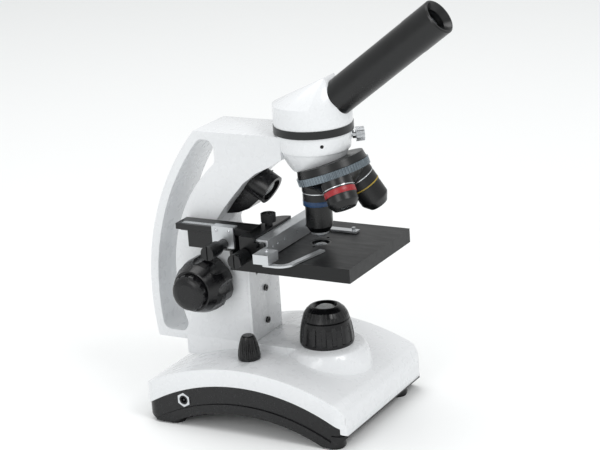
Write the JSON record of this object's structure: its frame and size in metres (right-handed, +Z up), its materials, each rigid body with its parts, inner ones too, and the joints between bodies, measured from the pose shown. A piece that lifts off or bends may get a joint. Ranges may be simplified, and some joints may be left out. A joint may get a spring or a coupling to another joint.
{
  "type": "compound microscope",
  "caption": "Upright monocular microscope with slanted tube, rotating nosepiece, square mechanical stage, coaxial focus knobs, base and top lamps, and carrying handle.",
  "frame": {"origin": "on the table, under the middle of the whole instrument", "axes": "+Z up, +X to the right of someone facing the eyepiece side, the eyepiece tube points to -Y"},
  "size_m": [0.1472, 0.2812, 0.3559],
  "materials": {
    "white_paint": "glossy",
    "black_plastic": "satin",
    "black_matte": "matt",
    "rubber": "matt",
    "steel": "brushed",
    "chrome": "polished",
    "aluminium": "satin",
    "brass": "machined",
    "black_anodised": "satin",
    "stage_black": "satin",
    "glass": "polished",
    "board": "matt",
    "led": "matt"
  },
  "bodies": {
    "base": {"base_casting": "white_paint", "base_tray": "black_plastic", "rubber_feet": "rubber", "tray_screws": "steel", "power_jack": "black_matte", "panel_nuts": "chrome", "power_board": "board", "dimmer_pot": "steel", "lamp_heatsink": "aluminium", "led_boards": "led", "lamp_housing": "black_plastic", "lamp_collar": "black_plastic", "lamp_lens": "glass", "arm": "white_paint", "front_cover": "white_paint", "socket_screws": "black_anodised", "slide_gibs": "brass", "top_lamp_body": "black_plastic", "top_lamp_lens": "glass", "nosepiece_mount": "black_anodised", "turret_screw": "steel"},
    "dimmer": {"dimmer_shaft": "steel", "dimmer_knob": "black_plastic"},
    "lock_screw": {"head_lock_screw": "chrome"},
    "head": {"head_ring": "black_anodised", "head_housing": "white_paint", "prism": "glass", "eyepiece_tube": "black_anodised"},
    "eyepiece": {"eyepiece_body": "black_anodised", "eye_lens": "glass", "field_lens": "glass"},
    "turret": {"turret_disc": "black_anodised", "turret_ring": "chrome", "objective_low": "black_anodised", "objective_mid": "black_anodised", "objective_high": "black_anodised", "objective_lenses": "glass"},
    "nose": {"objective_nose": "aluminium"},
    "coarse_drive": {"coarse_shaft": "steel", "coarse_knobs": "black_plastic"},
    "fine_drive": {"fine_shaft": "steel", "fine_knobs": "black_plastic"},
    "carriage": {"stage_carriage": "steel", "focus_rack": "brass"},
    "stage": {"stage_plate": "stage_black", "stage_bracket": "stage_black", "condenser": "black_anodised", "condenser_lens": "glass", "holder_base": "black_anodised", "holder_gib": "aluminium"},
    "diaphragm": {"disc_diaphragm": "black_anodised"},
    "y_slide": {"y_rail": "black_anodised", "x_guide": "black_anodised"},
    "y_drive": {"y_knob": "black_anodised"},
    "holder_screw": {"guide_screw": "black_anodised"},
    "x_slide": {"x_bar": "aluminium", "end_block": "aluminium", "fixed_finger": "aluminium"},
    "x_drive": {"x_knob": "black_anodised"},
    "finger": {"spring_finger": "aluminium"}
  },
  "joints": [
    {"name": "dimmer_turn", "type": "hinge", "parent": "base", "child": "dimmer", "pos_m": [-0.045, 0.03489, 0.06], "axis": [0, 0, 1], "range_deg": [-150, 150]},
    {"name": "head_lock_turn", "type": "hinge", "parent": "base", "child": "lock_screw", "pos_m": [0, -0.01511, 0.2396], "axis": [0.5736, -0.8192, 0], "range_deg": [-180, 180]},
    {"name": "head_turn", "type": "hinge", "parent": "base", "child": "head", "pos_m": [0, -0.01511, 0.246], "axis": [0, 0, 1], "continuous": true},
    {"name": "eyepiece_pull", "type": "slide", "parent": "head", "child": "eyepiece", "axis": [0, -0.7986, 0.6018], "range_m": [0, 0.029]},
    {"name": "turret_turn", "type": "hinge", "parent": "base", "child": "turret", "pos_m": [0, -0.01511, 0.262], "axis": [0, -0.309, -0.9511], "continuous": true},
    {"name": "nose_retract", "type": "slide", "parent": "turret", "child": "nose", "axis": [0, 0, 1], "range_m": [0, 0.003], "stiffness_N_per_m": 400, "springref_m": -0.001},
    {"name": "coarse_turn", "type": "hinge", "parent": "base", "child": "coarse_drive", "pos_m": [0, 0.07589, 0.1175], "axis": [1, 0, 0], "range_deg": [-50, 90]},
    {"name": "coarse_focus", "type": "slide", "parent": "base", "child": "carriage", "axis": [0, 0, 1], "range_m": [-0.0085, 0.0045]},
    {"name": "fine_turn", "type": "hinge", "parent": "coarse_drive", "child": "fine_drive", "pos_m": [0, 0.07589, 0.1175], "axis": [1, 0, 0], "range_deg": [-361, 361]},
    {"name": "fine_focus", "type": "slide", "parent": "carriage", "child": "stage", "axis": [0, 0, 1], "range_m": [-0.0005, 0.0005]},
    {"name": "diaphragm_turn", "type": "hinge", "parent": "stage", "child": "diaphragm", "pos_m": [0, 0.00289, 0.129], "axis": [0, 0, 1], "continuous": true},
    {"name": "holder_y", "type": "slide", "parent": "stage", "child": "y_slide", "axis": [0, 1, 0], "range_m": [-0.007, 0.01]},
    {"name": "holder_y_turn", "type": "hinge", "parent": "stage", "child": "y_drive", "pos_m": [0, 0.04989, 0.157], "axis": [1, 0, 0], "range_deg": [-200, 140]},
    {"name": "holder_screw_turn", "type": "hinge", "parent": "y_slide", "child": "holder_screw", "pos_m": [-0.021, 0.02109, 0.165], "axis": [0, 0, 1], "range_deg": [-180, 180]},
    {"name": "holder_x", "type": "slide", "parent": "y_slide", "child": "x_slide", "axis": [1, 0, 0], "range_m": [-0.01, 0.01]},
    {"name": "holder_x_turn", "type": "hinge", "parent": "y_slide", "child": "x_drive", "pos_m": [0, 0.02489, 0.1527], "axis": [1, 0, 0], "range_deg": [-301, 301]},
    {"name": "finger_swing", "type": "hinge", "parent": "x_slide", "child": "finger", "pos_m": [-0.068, -0.00211, 0.151], "axis": [0, 0, 1], "range_deg": [-20, 0], "stiffness_Nm_per_rad": 0.3, "springref_deg": 8.59}
  ],
  "couplings": [
    {"joint": "coarse_turn", "follows": "coarse_focus", "rad_per_m": -166.67},
    {"joint": "fine_turn", "follows": "fine_focus", "rad_per_m": 12566},
    {"joint": "holder_y_turn", "follows": "holder_y", "rad_per_m": -333.33},
    {"joint": "holder_x_turn", "follows": "holder_x", "rad_per_m": 523.6}
  ]
}
